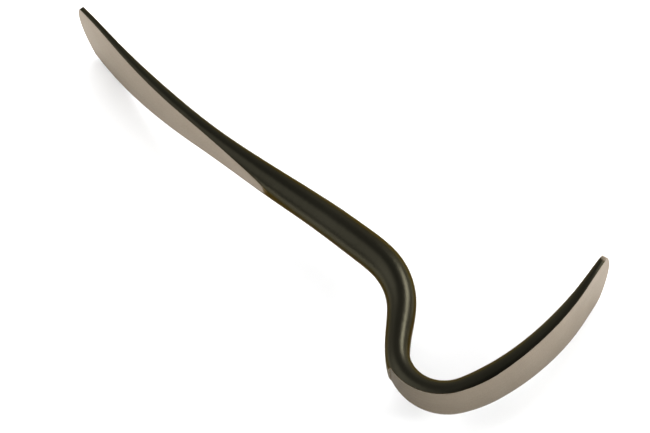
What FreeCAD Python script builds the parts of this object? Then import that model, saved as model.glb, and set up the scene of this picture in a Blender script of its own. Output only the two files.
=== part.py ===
import FreeCAD, Part
import math
import os

import Sketcher

# Double-ended forged spoon lever, in millimetres. It lies flat on the lower edges of its two
# blades: X runs along the long arm, Y towards the hooked blade and Z across the blades' width.
# One steel bar is drawn out wide and thin at both ends. A black coat covers it, and the outer
# face of each blade is then ground back to bare steel through the coat.

# Where each path starts in plan, and the direction it sets out in, in degrees from X.
PATH_STARTS = {
    "bar": (-187.1, -21.2, -6.9),
    "arm_face": (-209.3, -19.2, -8.2),
    "hook_face": (126.5, -71.0, 50.0),
}

# The runs that follow one another without a kink along each path: name, length and turn to the
# left in degrees. The bar goes from the long blade's tip to the hooked blade's tip, and each
# ground face the same way along its own blade. The first run of a path is straight.
PATH_RUNS = {
    "bar": [
        ("arm_tip", 33.0, 0.0),
        ("arm_blade", 50.0, 6.5),
        ("arm_taper", 60.0, 5.5),
        ("grip_lead", 60.0, 1.5),
        ("grip", 60.0, -5.5),
        ("bend", 44.0, -55.5),
        ("leg", 22.0, 5.5),
        ("heel", 54.0, 113.5),
        ("throat", 47.0, 21.0),
        ("hook_blade", 45.0, 15.0),
        ("hook_tip", 24.0, 0.5),
    ],
    "arm_face": [
        ("arm_face_lead", 18.0, 0.0),
        ("arm_face_tip", 50.0, 1.5),
        ("arm_face_blade", 69.0, 9.0),
        ("arm_face_run_out", 80.0, -3.0),
    ],
    "hook_face": [
        ("hook_face_lead", 8.0, 0.0),
        ("hook_face_entry", 2.4, -68.2),
        ("hook_face_heel", 43.5, 76.1),
        ("hook_face_throat", 25.0, 19.0),
        ("hook_face_blade", 43.0, 14.0),
        ("hook_face_tip", 25.0, 9.5),
        ("hook_face_end", 35.0, 0.5),
    ],
}

# Half of the bar's width and thickness over the coat, at the start of its first run and then at
# the end of every run.
BAR_SIZES = [
    (23.0, 2.1),
    (25.7, 2.4),
    (19.4, 4.4),
    (12.2, 5.8),
    (9.8, 8.8),
    (10.0, 9.8),
    (8.9, 8.0),
    (10.4, 6.9),
    (15.9, 7.4),
    (21.5, 6.2),
    (25.5, 3.4),
    (24.2, 2.0),
]

# Corners that close each grinding cut on the far side of its blade.
CUT_CORNERS = {
    "arm_face": [(0.0, -60.0), (-209.3, -60.0)],
    "hook_face": [(220.0, 80.0), (220.0, -100.0), (126.5, -100.0)],
}

SIZES = {
    "coat_thickness": 0.25,
    "arm_tip_trim": 1.3,
    "arm_tip_crown_radius": 40.0,
    "arm_tip_corner_radius": 5.5,
    "arm_tip_half_width": 24.6,
    "hook_tip_trim": 2.2,
    "hook_tip_crown_radius": 53.0,
    "hook_tip_corner_radius": 4.5,
    "hook_tip_half_width": 25.2,
    "hook_tip_bare": 1.5,
    "tip_cut_reach": 20.0,
    "tip_cut_half_height": 40.0,
    "tip_cut_depth": 60.0,
    "resting_height": 25.75,
}

# Greatest length and turn between two sections of the bar's loft.
SECTION_SPACING = 17.0
SECTION_TURN = 14.5

# How far a piece's outline lies inside the finished surface.
NO_INSET = "0"
COAT_INSET = "sizes.coat_thickness"

# How far a piece stops short of the hooked blade's end.
NO_SETBACK = "0"
COAT_SETBACK = "sizes.hook_tip_bare"

UP = FreeCAD.Vector(0, 0, 1)
HALF_TURN = FreeCAD.Placement(FreeCAD.Vector(), FreeCAD.Rotation(FreeCAD.Vector(0, 1, 0), 180))


def write_sheet(doc):
    """Put every driving size in a spreadsheet, one named cell for each."""
    named = list(SIZES.items())
    for stem, (x, y, heading) in PATH_STARTS.items():
        named += [(stem + "_start_x", x), (stem + "_start_y", y), (stem + "_heading", heading)]
    for runs in PATH_RUNS.values():
        for name, length, turn in runs:
            named += [(name + "_length", length), (name + "_turn", turn)]
    for index, (half_width, half_thickness) in enumerate(BAR_SIZES):
        named += [("half_width_%02d" % index, half_width)]
        named += [("half_thickness_%02d" % index, half_thickness)]
    for stem, corners in CUT_CORNERS.items():
        for index, (x, y) in enumerate(corners):
            named += [("%s_corner_%d_x" % (stem, index), x), ("%s_corner_%d_y" % (stem, index), y)]
    sheet = doc.addObject("Spreadsheet::Sheet", "sizes")
    for row, (name, value) in enumerate(named, start=1):
        sheet.set("A%d" % row, name)
        sheet.set("B%d" % row, str(value))
        sheet.setAlias("B%d" % row, name)
    doc.recompute()


def point(x, y):
    """A point of a sketch."""
    return FreeCAD.Vector(x, y, 0)


def line(start, end):
    """A straight edge between two (x, y) points."""
    return Part.LineSegment(point(*start), point(*end))


def arc(centre, radius, start, end):
    """An arc about an (x, y) centre, counter-clockwise between two angles in radians."""
    return Part.ArcOfCircle(Part.Circle(point(*centre), UP, radius), start, end)


def plan_sketch(body, name):
    """An empty sketch on the body's horizontal plane."""
    sketch = body.newObject("Sketcher::SketchObject", name)
    plane = [item for item in body.Origin.OriginFeatures if item.Role == "XY_Plane"][0]
    sketch.AttachmentSupport = [(plane, "")]
    sketch.MapMode = "FlatFace"
    return sketch


def bind(sketch, constraint, name, expression):
    """Add a named constraint to the sketch and drive it by an expression."""
    sketch.renameConstraint(sketch.addConstraint(constraint), name)
    sketch.setExpression("Constraints." + name, expression)


def bind_point(sketch, vertex, place, cell):
    """Tie a vertex's two coordinates to the two cells of the given stem."""
    x, y = place
    bind(sketch, Sketcher.Constraint("DistanceX", -1, 1, *vertex, x), cell + "_x", "sizes.%s_x" % cell)
    bind(sketch, Sketcher.Constraint("DistanceY", -1, 1, *vertex, y), cell + "_y", "sizes.%s_y" % cell)


def join(sketch, kind, first, second):
    """Join two edges' vertices."""
    sketch.addConstraint(Sketcher.Constraint(kind, *first, *second))


def travel_ends(turn):
    """The vertices where a run starts and ends; an arc is stored counter-clockwise."""
    return (1, 2) if turn >= 0 else (2, 1)


def run_edge(x, y, heading, length, turn):
    """One run's edge from a point and heading, and the point that it ends at."""
    if turn == 0:
        end = (x + length * math.cos(heading), y + length * math.sin(heading))
        return line((x, y), end), end
    radius = length / turn
    centre = (x - radius * math.sin(heading), y + radius * math.cos(heading))
    end = (centre[0] + radius * math.sin(heading + turn), centre[1] - radius * math.cos(heading + turn))
    side = math.copysign(math.pi / 2, turn)
    angles = sorted((heading - side, heading - side + turn))
    return arc(centre, abs(radius), *angles), end


def add_path(sketch, stem):
    """Draw a path's runs, drive them by their cells and return the path's last vertex and point."""
    x, y, heading = PATH_STARTS[stem]
    heading = math.radians(heading)
    last = None
    for name, length, turn in PATH_RUNS[stem]:
        start_vertex, end_vertex = travel_ends(turn)
        edge, end = run_edge(x, y, heading, length, math.radians(turn))
        index = sketch.addGeometry(edge, False)
        if last is None:
            bind_point(sketch, (index, start_vertex), (x, y), stem + "_start")
            bind(sketch, Sketcher.Constraint("Angle", index, heading), name + "_heading",
                 "sizes.%s_heading" % stem)
            bind(sketch, Sketcher.Constraint("Distance", index, length), name + "_length",
                 "sizes.%s_length" % name)
        else:
            join(sketch, "Tangent", last, (index, start_vertex))
            bind(sketch, Sketcher.Constraint("Radius", index, edge.Radius), name + "_radius",
                 "sizes.{0}_length * 180 / (pi * abs(sizes.{0}_turn))".format(name))
            bind(sketch, Sketcher.Constraint("Angle", index, abs(math.radians(turn))), name + "_turn",
                 "abs(sizes.%s_turn)" % name)
        last = (index, end_vertex)
        x, y = end
        heading += math.radians(turn)
    return last, (x, y)


def blend(stem, run, share):
    """Expression for a size part-way along a run, eased through the sizes at the run ends."""
    lengths = [length for name, length, turn in PATH_RUNS["bar"]]
    marks = [sum(lengths[:index]) for index in range(len(lengths) + 1)]
    weights = [0.0] * len(marks)
    weights[run] += 2 * share**3 - 3 * share**2 + 1
    weights[run + 1] += 3 * share**2 - 2 * share**3
    eases = {run: share**3 - 2 * share**2 + share, run + 1: share**3 - share**2}
    for mark, ease in eases.items():
        before, after = max(mark - 1, 0), min(mark + 1, len(marks) - 1)
        slope = ease * lengths[run] / (marks[after] - marks[before])
        weights[after] += slope
        weights[before] -= slope
    return " + ".join("%.5f * sizes.%s_%02d" % (weight, stem, index)
                      for index, weight in enumerate(weights) if weight)


def on_path(sketch, spine, run, share):
    """Stand a sketch square to the bar's path, its x axis to one side and its y axis up."""
    turn = PATH_RUNS["bar"][run][2]
    sketch.AttachmentSupport = [(spine, "Edge%d" % (run + 1))]
    sketch.MapMode = "NormalToEdge"
    if turn < 0:
        sketch.MapPathParameter = 1 - share
        sketch.AttachmentOffset = HALF_TURN
    else:
        sketch.MapPathParameter = share


def section_sketch(body, spine, run, share, inset):
    """A slot-shaped section of the bar, square to its path."""
    sketch = body.newObject("Sketcher::SketchObject", body.Name + "_section")
    on_path(sketch, spine, run, share)
    half_width, radius = BAR_SIZES[run]
    reach = half_width - radius
    sketch.addGeometry([
        line((radius, -reach), (radius, reach)),
        arc((0, reach), radius, 0, math.pi),
        line((-radius, reach), (-radius, -reach)),
        arc((0, -reach), radius, math.pi, 2 * math.pi),
    ], False)
    for edge in range(4):
        join(sketch, "Tangent", (edge, 2), ((edge + 1) % 4, 1))
    right, high, left, low = range(4)
    sketch.addConstraint([
        Sketcher.Constraint("Symmetric", high, 3, low, 3, -1, 1),
        Sketcher.Constraint("PointOnObject", high, 3, -2),
        Sketcher.Constraint("Vertical", right),
    ])
    thickness = blend("half_thickness", run, share)
    width = blend("half_width", run, share)
    bind(sketch, Sketcher.Constraint("Radius", high, radius), "half_thickness",
         "%s - %s" % (thickness, inset))
    bind(sketch, Sketcher.Constraint("DistanceY", low, 3, high, 3, 2 * reach), "arc_spacing",
         "2 * (%s - (%s))" % (width, thickness))
    return sketch


def section_places():
    """Where the bar's sections stand: run number and share of the run."""
    places = []
    for run, (name, length, turn) in enumerate(PATH_RUNS["bar"]):
        count = math.ceil(max(length / SECTION_SPACING, abs(turn) / SECTION_TURN))
        places += [(run, step / count) for step in range(count)]
    return places + [(len(PATH_RUNS["bar"]) - 1, 1)]


def bar_body(doc, name, inset):
    """The bar before it is ground: a loft of sections along its path."""
    body = doc.addObject("PartDesign::Body", name)
    spine = plan_sketch(body, name + "_path")
    spine.setExpression("AttachmentOffset.Base.z", "sizes.resting_height")
    add_path(spine, "bar")
    doc.recompute()
    sections = [section_sketch(body, spine, *place, inset) for place in section_places()]
    doc.recompute()
    loft = body.newObject("PartDesign::AdditiveLoft", name + "_bar")
    loft.Profile = sections[0]
    loft.Sections = [(section, [""]) for section in sections[1:]]
    body.Tip = loft
    doc.recompute()
    return body, spine


def cut(body, name, sketch, depth=None):
    """Cut the sketch's outline out of the body on both sides of the sketch's plane."""
    pocket = body.newObject("PartDesign::Pocket", name)
    pocket.Profile = sketch
    pocket.SideType = "Symmetric"
    if depth is None:
        pocket.Type = "ThroughAll"
    else:
        pocket.setExpression("Length", depth)
    body.Tip = pocket
    body.Document.recompute()


def grind_face(body, stem):
    """Grind one blade's outer face down to its path."""
    sketch = plan_sketch(body, "%s_%s_outline" % (body.Name, stem))
    last, place = add_path(sketch, stem)
    corners = CUT_CORNERS[stem]
    for index, corner in enumerate(corners):
        edge = sketch.addGeometry(line(place, corner), False)
        join(sketch, "Coincident", last, (edge, 1))
        bind_point(sketch, (edge, 2), corner, "%s_corner_%d" % (stem, index))
        last, place = (edge, 2), corner
    edge = sketch.addGeometry(line(place, PATH_STARTS[stem][:2]), False)
    join(sketch, "Coincident", last, (edge, 1))
    join(sketch, "Coincident", (edge, 2), (0, 1))
    cut(body, "%s_%s" % (body.Name, stem), sketch)


def trim_tip(body, spine, name, run, share, turn, inset, setback):
    """Cut one blade's end to its crowned outline with rounded corners."""
    sketch = body.newObject("Sketcher::SketchObject", "%s_%s_outline" % (body.Name, name))
    on_path(sketch, spine, run, share)
    sketch.AttachmentOffset = FreeCAD.Placement(
        FreeCAD.Vector(), FreeCAD.Rotation(FreeCAD.Vector(0, 1, 0), turn))
    trim, half_width = SIZES[name + "_trim"], SIZES[name + "_half_width"]
    crown_radius, corner_radius = SIZES[name + "_crown_radius"], SIZES[name + "_corner_radius"]
    reach, height = SIZES["tip_cut_reach"], SIZES["tip_cut_half_height"]
    corner_y = half_width - corner_radius
    lean = math.asin(corner_y / (crown_radius - corner_radius))
    crown_x = -trim - crown_radius
    corner_x = crown_x + (crown_radius - corner_radius) * math.cos(lean)
    sketch.addGeometry([
        arc((corner_x, -corner_y), corner_radius, -math.pi / 2, -lean),
        arc((crown_x, 0), crown_radius, -lean, lean),
        arc((corner_x, corner_y), corner_radius, lean, math.pi / 2),
        line((corner_x, half_width), (corner_x, height)),
        line((corner_x, height), (reach, height)),
        line((reach, height), (reach, -height)),
        line((reach, -height), (corner_x, -height)),
        line((corner_x, -height), (corner_x, -half_width)),
    ], False)
    low, crown, high, rise, top, outside, bottom, fall = range(8)
    join(sketch, "Tangent", (low, 2), (crown, 1))
    join(sketch, "Tangent", (crown, 2), (high, 1))
    for edge in (high, rise, top, outside, bottom):
        join(sketch, "Coincident", (edge, 2), (edge + 1, 1))
    join(sketch, "Coincident", (fall, 2), (low, 1))
    sketch.addConstraint([
        Sketcher.Constraint("PointOnObject", crown, 3, -1),
        Sketcher.Constraint("Symmetric", low, 3, high, 3, -1),
        Sketcher.Constraint("Vertical", high, 3, high, 2),
        Sketcher.Constraint("Vertical", low, 3, low, 1),
        Sketcher.Constraint("Vertical", rise),
        Sketcher.Constraint("Horizontal", top),
        Sketcher.Constraint("Vertical", outside),
        Sketcher.Constraint("Horizontal", bottom),
        Sketcher.Constraint("Vertical", fall),
    ])
    bind(sketch, Sketcher.Constraint("Radius", crown, crown_radius), "crown_radius",
         "sizes.%s_crown_radius - %s" % (name, inset))
    bind(sketch, Sketcher.Constraint("Radius", high, corner_radius), "corner_radius",
         "sizes.%s_corner_radius - %s" % (name, inset))
    bind(sketch, Sketcher.Constraint("DistanceX", crown, 3, -1, 1, -crown_x), "crown_centre",
         "sizes.%s_trim + sizes.%s_crown_radius + %s" % (name, name, setback))
    bind(sketch, Sketcher.Constraint("DistanceY", -1, 1, high, 2, half_width), "half_width",
         "sizes.%s_half_width - %s" % (name, inset))
    bind(sketch, Sketcher.Constraint("DistanceX", -1, 1, top, 2, reach), "reach",
         "sizes.tip_cut_reach")
    bind(sketch, Sketcher.Constraint("DistanceY", -1, 1, top, 2, height), "top",
         "sizes.tip_cut_half_height")
    bind(sketch, Sketcher.Constraint("DistanceY", outside, 2, -1, 1, height), "bottom",
         "sizes.tip_cut_half_height")
    cut(body, "%s_%s" % (body.Name, name), sketch, "sizes.tip_cut_depth")


def trim_arm_tip(body, spine, inset):
    """Trim the long blade's end."""
    trim_tip(body, spine, "arm_tip", 0, 0, -90, inset, NO_SETBACK)


def trim_hook_tip(body, spine, setback):
    """Trim the hooked blade's end, which is bare: the coat stops a little before the steel."""
    trim_tip(body, spine, "hook_tip", len(PATH_RUNS["bar"]) - 1, 1, 90, NO_INSET, setback)


def build_forging(doc):
    """The bare steel of the lever, one coat's thickness inside the finished surface."""
    body, spine = bar_body(doc, "forging", COAT_INSET)
    trim_arm_tip(body, spine, COAT_INSET)
    trim_hook_tip(body, spine, NO_SETBACK)
    grind_face(body, "arm_face")
    grind_face(body, "hook_face")
    return body


def build_coat(doc):
    """The black coat: a skin over the bar and the arm's tip, open at the ground faces."""
    steel, steel_spine = bar_body(doc, "coated_steel", COAT_INSET)
    trim_arm_tip(steel, steel_spine, COAT_INSET)
    body, spine = bar_body(doc, "coat", NO_INSET)
    hollow = body.newObject("PartDesign::Boolean", "coat_hollow")
    hollow.Type = "Cut"
    hollow.addObjects([steel])
    body.Tip = hollow
    doc.recompute()
    trim_arm_tip(body, spine, NO_INSET)
    trim_hook_tip(body, spine, COAT_SETBACK)
    grind_face(body, "arm_face")
    grind_face(body, "hook_face")
    return body


def check(doc):
    """Stop if any object in the document failed to build."""
    for item in doc.Objects:
        if "Invalid" in item.State or "Error" in item.State:
            raise RuntimeError("%s did not build: %s" % (item.Name, item.State))


def export(body, label):
    """Label the body and write its solid as one STEP file."""
    body.Label = label
    shape = body.Shape
    if shape.isNull() or not shape.isValid() or len(shape.Solids) != 1:
        raise RuntimeError("%s is not one valid solid" % label)
    shape.exportStep("parts/%s.step" % label)


def main():
    """Build both pieces and write them."""
    doc = FreeCAD.newDocument("spoon_lever")
    write_sheet(doc)
    forging = build_forging(doc)
    coat = build_coat(doc)
    doc.recompute()
    check(doc)
    os.makedirs("parts", exist_ok=True)
    export(forging, "steel_forging")
    export(coat, "black_coat")


main()
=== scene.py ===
import math

import bpy
from mathutils import Matrix, Vector


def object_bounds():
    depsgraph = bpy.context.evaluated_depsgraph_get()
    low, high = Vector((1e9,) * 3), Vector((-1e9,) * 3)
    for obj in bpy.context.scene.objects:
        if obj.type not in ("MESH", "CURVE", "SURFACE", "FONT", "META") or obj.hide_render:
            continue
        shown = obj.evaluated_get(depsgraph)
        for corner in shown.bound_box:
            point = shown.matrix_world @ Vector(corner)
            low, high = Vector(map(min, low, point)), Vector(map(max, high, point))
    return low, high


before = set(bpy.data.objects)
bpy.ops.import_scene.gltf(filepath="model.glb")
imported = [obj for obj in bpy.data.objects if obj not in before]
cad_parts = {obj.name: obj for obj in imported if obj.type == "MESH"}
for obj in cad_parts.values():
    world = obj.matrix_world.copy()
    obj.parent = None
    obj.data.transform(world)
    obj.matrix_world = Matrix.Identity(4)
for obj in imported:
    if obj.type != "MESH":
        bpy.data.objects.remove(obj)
cad_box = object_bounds()

# The camera: where it looks, and the heading, lean from straight down, roll and distance of its
# view. Lengths are in metres and angles in degrees.
CAMERA_TARGET = Vector((0.03476, -0.01743, 0.02575))
CAMERA_HEADING = 52.59
CAMERA_LEAN = 31.15
CAMERA_ROLL = 8.66
CAMERA_DISTANCE = 0.8189
CAMERA_LENS = 77.13
SENSOR_WIDTH = 36.0

FLOOR_SIZE = 6.0
FLOOR_TONE = 0.90

# The heel of the hook, where the ground steel is painted darker and browner as painted shade for
# the darker reflection it shows there, and the distances from it at which that painted shade is
# full and gone.
HEEL_PLACE = (0.118, -0.066, 0.026)
HEEL_SHADE_FULL = 0.012
HEEL_SHADE_GONE = 0.088
HEEL_SHADE_STRENGTH = 0.90

# How round edges look and how far wear reaches from them, in metres; on the steel the paler edge
# is partly wear and partly a painted highlight. Wear starts and is full at these cosines of the
# angle between the surface's own normal and its rounded one.
EDGE_ROUNDING = 0.0005
STEEL_WEAR_AND_HIGHLIGHT = 0.0006
COAT_WEAR = 0.0009
WEAR_STARTS = 0.995
WEAR_FULL = 0.93
EDGE_SAMPLES = 6
WEAR_SAMPLES = 8

# The share and the two colours among a Mix node's inputs, and the colour among its outputs.
MIX_COLOUR_INPUTS = (0, 6, 7)
MIX_COLOUR_OUTPUT = 2

# How bright the studio's surroundings are where no patch changes them.
SKY_LEVEL = 0.62

# Patches of the studio's surroundings: direction, the angles in degrees within which a patch is
# full and beyond which it has faded out, and how much brighter or darker it is.
SKY_PATCHES = [
    ((0.600, -0.560, 0.57), 35.0, 80.0, -0.62),
    ((-0.41, 0.32, 0.86), 14.0, 38.0, -0.30),
    ((-0.425, -0.556, 0.70), 12.0, 40.0, 0.75),
]

# Softboxes: name, place, width and height in metres, watts, and whether they show in reflections.
SOFTBOXES = [
    ("ceiling", (-0.9, 0.7, 1.7), (2.0, 2.0), 38.0, False),
    ("fill_right", (0.85, 0.70, 0.40), (0.6, 0.6), 19.0, False),
    ("fill_left", (-0.60, -0.46, 0.40), (0.5, 0.5), 5.0, False),
    ("side", (0.30, 1.19, 0.89), (0.6, 0.6), 9.0, True),
]


class Nodes:
    """A small helper that adds shader nodes and links them."""

    def __init__(self, owner):
        owner.use_nodes = True
        self.tree = owner.node_tree
        self.tree.nodes.clear()

    def fill(self, socket, value):
        """Link an input to another node's output, or set it to a plain value."""
        if isinstance(value, bpy.types.NodeSocket):
            self.tree.links.new(value, socket)
        else:
            socket.default_value = value

    def add(self, kind, inputs=None, **settings):
        """Add a node, set its properties, then set or link its inputs."""
        node = self.tree.nodes.new(kind)
        for name, value in settings.items():
            setattr(node, name, value)
        for name, value in (inputs or {}).items():
            self.fill(node.inputs[name], value)
        return node

    def coordinates(self, scale):
        """Object coordinates stretched by a scale along each axis."""
        source = self.add("ShaderNodeTexCoord")
        return self.add("ShaderNodeMapping", {
            "Vector": source.outputs["Object"], "Scale": scale}).outputs["Vector"]

    def noise(self, scale, detail=3.0, stretch=(1, 1, 1), roughness=0.5):
        """Noise with features of about 1/scale metres."""
        return self.add("ShaderNodeTexNoise", {
            "Vector": self.coordinates(stretch), "Scale": scale,
            "Detail": detail, "Roughness": roughness}).outputs["Fac"]

    def ramp(self, value, low, high, to_low=0.0, to_high=1.0):
        """Spread a value's low to high range over another range."""
        return self.add("ShaderNodeMapRange", {
            "Value": value, "From Min": low, "From Max": high,
            "To Min": to_low, "To Max": to_high}).outputs["Result"]

    def mix(self, share, first, second):
        """Blend two colours."""
        node = self.add("ShaderNodeMix", data_type="RGBA")
        for number, value in zip(MIX_COLOUR_INPUTS, (share, first, second)):
            self.fill(node.inputs[number], value)
        return node.outputs[MIX_COLOUR_OUTPUT]

    def math(self, operation, *values):
        """Arithmetic on sockets and numbers."""
        node = self.add("ShaderNodeMath", operation=operation)
        for socket, value in zip(node.inputs, values):
            self.fill(socket, value)
        return node.outputs[0]

    def vectors(self, operation, first, second):
        """Arithmetic on two vectors that gives one number."""
        node = self.add("ShaderNodeVectorMath", operation=operation)
        self.fill(node.inputs[0], first)
        self.fill(node.inputs[1], second)
        return node.outputs["Value"]

    def distance(self, place):
        """How far a point of the object is from a place, in metres."""
        here = self.add("ShaderNodeTexCoord").outputs["Object"]
        return self.vectors("DISTANCE", here, place)

    def facing(self, vector, direction, narrow, wide):
        """1 along a direction, easing to 0 between two angles from it in degrees."""
        return self.add("ShaderNodeMapRange", {
            "Value": self.vectors("DOT_PRODUCT", vector, Vector(direction).normalized()),
            "From Min": math.cos(math.radians(wide)),
            "From Max": math.cos(math.radians(narrow))},
            interpolation_type="SMOOTHSTEP").outputs["Result"]

    def rounded(self, radius, samples):
        """The surface's normal with its sharp edges rounded to a radius in metres."""
        return self.add("ShaderNodeBevel", {"Radius": radius}, samples=samples).outputs["Normal"]

    def edge_wear(self, radius):
        """1 at sharp edges, fading to 0 on flat stretches."""
        flat = self.add("ShaderNodeNewGeometry").outputs["Normal"]
        agreement = self.vectors("DOT_PRODUCT", self.rounded(radius, WEAR_SAMPLES), flat)
        return self.ramp(agreement, WEAR_STARTS, WEAR_FULL)

    def bump(self, height, strength, distance, normal=None):
        """A bump of the given depth in metres."""
        inputs = {"Height": height, "Strength": strength, "Distance": distance}
        if normal is not None:
            inputs["Normal"] = normal
        return self.add("ShaderNodeBump", inputs).outputs["Normal"]


def ground_steel():
    """Bare steel, ground along the blades, with a fine grain, clouds, paler edges that are partly
    wear and partly a painted highlight, and painted shade darkening the heel.
    """
    material = bpy.data.materials.new("ground_steel_finish")
    nodes = Nodes(material)
    streaks = nodes.noise(1.0, 4.0, (25, 25, 2600), 0.6)
    grain = nodes.noise(1500.0, 2.0)
    clouds = nodes.noise(28.0, 3.0)
    brown = (0.298, 0.246, 0.182, 1)
    warm = (0.356, 0.299, 0.228, 1)
    painted_heel_shade = (0.088, 0.068, 0.039, 1)
    pale = (0.620, 0.540, 0.440, 1)
    mottle = nodes.math("MULTIPLY_ADD", grain, 0.62, nodes.math("MULTIPLY", clouds, 0.38))
    colour = nodes.mix(nodes.ramp(mottle, 0.38, 0.62), brown, warm)
    # Painted shade: the steel is darkened near the heel, standing in for the darker reflection
    # there.
    heel_shade_mask = nodes.ramp(nodes.distance(HEEL_PLACE), HEEL_SHADE_FULL, HEEL_SHADE_GONE, HEEL_SHADE_STRENGTH, 0.0)
    colour = nodes.mix(heel_shade_mask, colour, painted_heel_shade)
    # Paler edges: partly wear, partly a painted highlight line along the ground edges.
    colour = nodes.mix(nodes.edge_wear(STEEL_WEAR_AND_HIGHLIGHT), colour, pale)
    rough = nodes.ramp(streaks, 0.3, 0.7, 0.54, 0.64)
    edge = nodes.rounded(EDGE_ROUNDING, EDGE_SAMPLES)
    normal = nodes.bump(streaks, 0.12, 0.00005, nodes.bump(grain, 0.22, 0.00004, edge))
    shader = nodes.add("ShaderNodeBsdfPrincipled", {
        "Base Color": colour, "Metallic": 1.0, "Roughness": rough, "Normal": normal})
    nodes.add("ShaderNodeOutputMaterial", {"Surface": shader.outputs["BSDF"]})
    return material


def black_coat():
    """Satin olive-black oxide coat with a fine grain, rubbed brown along the ground edges."""
    material = bpy.data.materials.new("black_coat_finish")
    nodes = Nodes(material)
    grain = nodes.noise(2600.0, 2.0)
    swell = nodes.noise(160.0, 2.0)
    clouds = nodes.noise(22.0, 3.0)
    deep = (0.039, 0.0365, 0.0250, 1)
    worn = (0.046, 0.0430, 0.0300, 1)
    rubbed = (0.150, 0.118, 0.080, 1)
    colour = nodes.mix(nodes.ramp(clouds, 0.35, 0.65), deep, worn)
    patchy = nodes.ramp(nodes.noise(700.0, 3.0), 0.35, 0.6, 0.25, 0.85)
    wear = nodes.math("MULTIPLY", nodes.edge_wear(COAT_WEAR), patchy)
    colour = nodes.mix(wear, colour, rubbed)
    rough = nodes.ramp(clouds, 0.3, 0.7, 0.27, 0.33)
    edge = nodes.rounded(EDGE_ROUNDING, EDGE_SAMPLES)
    normal = nodes.bump(grain, 0.12, 0.00004, nodes.bump(swell, 0.05, 0.0002, edge))
    shader = nodes.add("ShaderNodeBsdfPrincipled", {
        "Base Color": colour, "Metallic": 1.0, "Roughness": rough, "Normal": normal,
        "Specular Tint": (0.50, 0.43, 0.33, 1)})
    nodes.add("ShaderNodeOutputMaterial", {"Surface": shader.outputs["BSDF"]})
    return material


def finish_node(name, material):
    """Give a CAD node its material."""
    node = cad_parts[name]
    if not node.material_slots:
        node.data.materials.append(material)
    for slot in node.material_slots:
        slot.material = material


def add_floor():
    """A plain pale floor under the lever."""
    half = FLOOR_SIZE / 2
    mesh = bpy.data.meshes.new("floor")
    corners = [(-half, -half), (half, -half), (half, half), (-half, half)]
    lowest = cad_box[0][2]
    mesh.from_pydata([(x, y, lowest) for x, y in corners], [], [(0, 1, 2, 3)])
    floor = bpy.data.objects.new("floor", mesh)
    bpy.context.scene.collection.objects.link(floor)
    material = bpy.data.materials.new("floor_paint")
    nodes = Nodes(material)
    shader = nodes.add("ShaderNodeBsdfPrincipled", {
        "Base Color": (FLOOR_TONE, FLOOR_TONE, FLOOR_TONE, 1), "Roughness": 0.9,
        "Specular IOR Level": 0.1})
    nodes.add("ShaderNodeOutputMaterial", {"Surface": shader.outputs["BSDF"]})
    mesh.materials.append(material)


def add_sky():
    """Soft light from all round: dark towards the camera's side, mid grey elsewhere."""
    world = bpy.data.worlds.new("studio")
    bpy.context.scene.world = world
    nodes = Nodes(world)
    way = nodes.add("ShaderNodeTexCoord").outputs["Generated"]
    level = SKY_LEVEL
    for direction, narrow, wide, change in SKY_PATCHES:
        patch = nodes.facing(way, direction, narrow, wide)
        level = nodes.math("MULTIPLY_ADD", patch, change, level)
    level = nodes.math("MAXIMUM", level, 0.0)
    colour = nodes.add("ShaderNodeCombineColor", {
        "Red": level, "Green": level, "Blue": level}).outputs["Color"]
    shader = nodes.add("ShaderNodeBackground", {"Color": colour, "Strength": 1.0})
    nodes.add("ShaderNodeOutputWorld", {"Surface": shader.outputs["Background"]})


def add_softbox(name, place, size, power, mirrored):
    """A rectangular light panel that faces the lever, seen or not in its reflections."""
    light = bpy.data.lights.new(name, "AREA")
    light.shape = "RECTANGLE"
    light.size, light.size_y = size
    light.energy = power
    panel = bpy.data.objects.new(name, light)
    panel.location = place
    panel.rotation_euler = (Vector((0, 0, 0)) - Vector(place)).to_track_quat("-Z", "Y").to_euler()
    panel.visible_glossy = mirrored
    bpy.context.scene.collection.objects.link(panel)


def camera_axes():
    """The camera's right, up and backward directions in the lever's frame."""
    heading, lean, roll = (math.radians(a) for a in (CAMERA_HEADING, CAMERA_LEAN, CAMERA_ROLL))
    level = Vector((math.cos(heading), math.sin(heading), 0))
    away = Vector((-math.sin(heading), math.cos(heading), 0))
    rise = away * math.cos(lean) + Vector((0, 0, math.sin(lean)))
    back = Vector((0, 0, math.cos(lean))) - away * math.sin(lean)
    right = level * math.cos(roll) - rise * math.sin(roll)
    up = level * math.sin(roll) + rise * math.cos(roll)
    return right, up, back


def add_camera():
    """The camera that looks down on the lever."""
    right, up, back = camera_axes()
    data = bpy.data.cameras.new("camera")
    data.sensor_width = SENSOR_WIDTH
    data.lens = CAMERA_LENS
    camera = bpy.data.objects.new("camera", data)
    turn = Matrix((right, up, back)).transposed().to_4x4()
    camera.matrix_world = Matrix.Translation(CAMERA_TARGET + back * CAMERA_DISTANCE) @ turn
    bpy.context.scene.collection.objects.link(camera)
    bpy.context.scene.camera = camera


finish_node("steel_forging", ground_steel())
finish_node("black_coat", black_coat())
add_floor()
add_sky()
for softbox in SOFTBOXES:
    add_softbox(*softbox)
add_camera()
bpy.context.scene.view_settings.view_transform = "Standard"
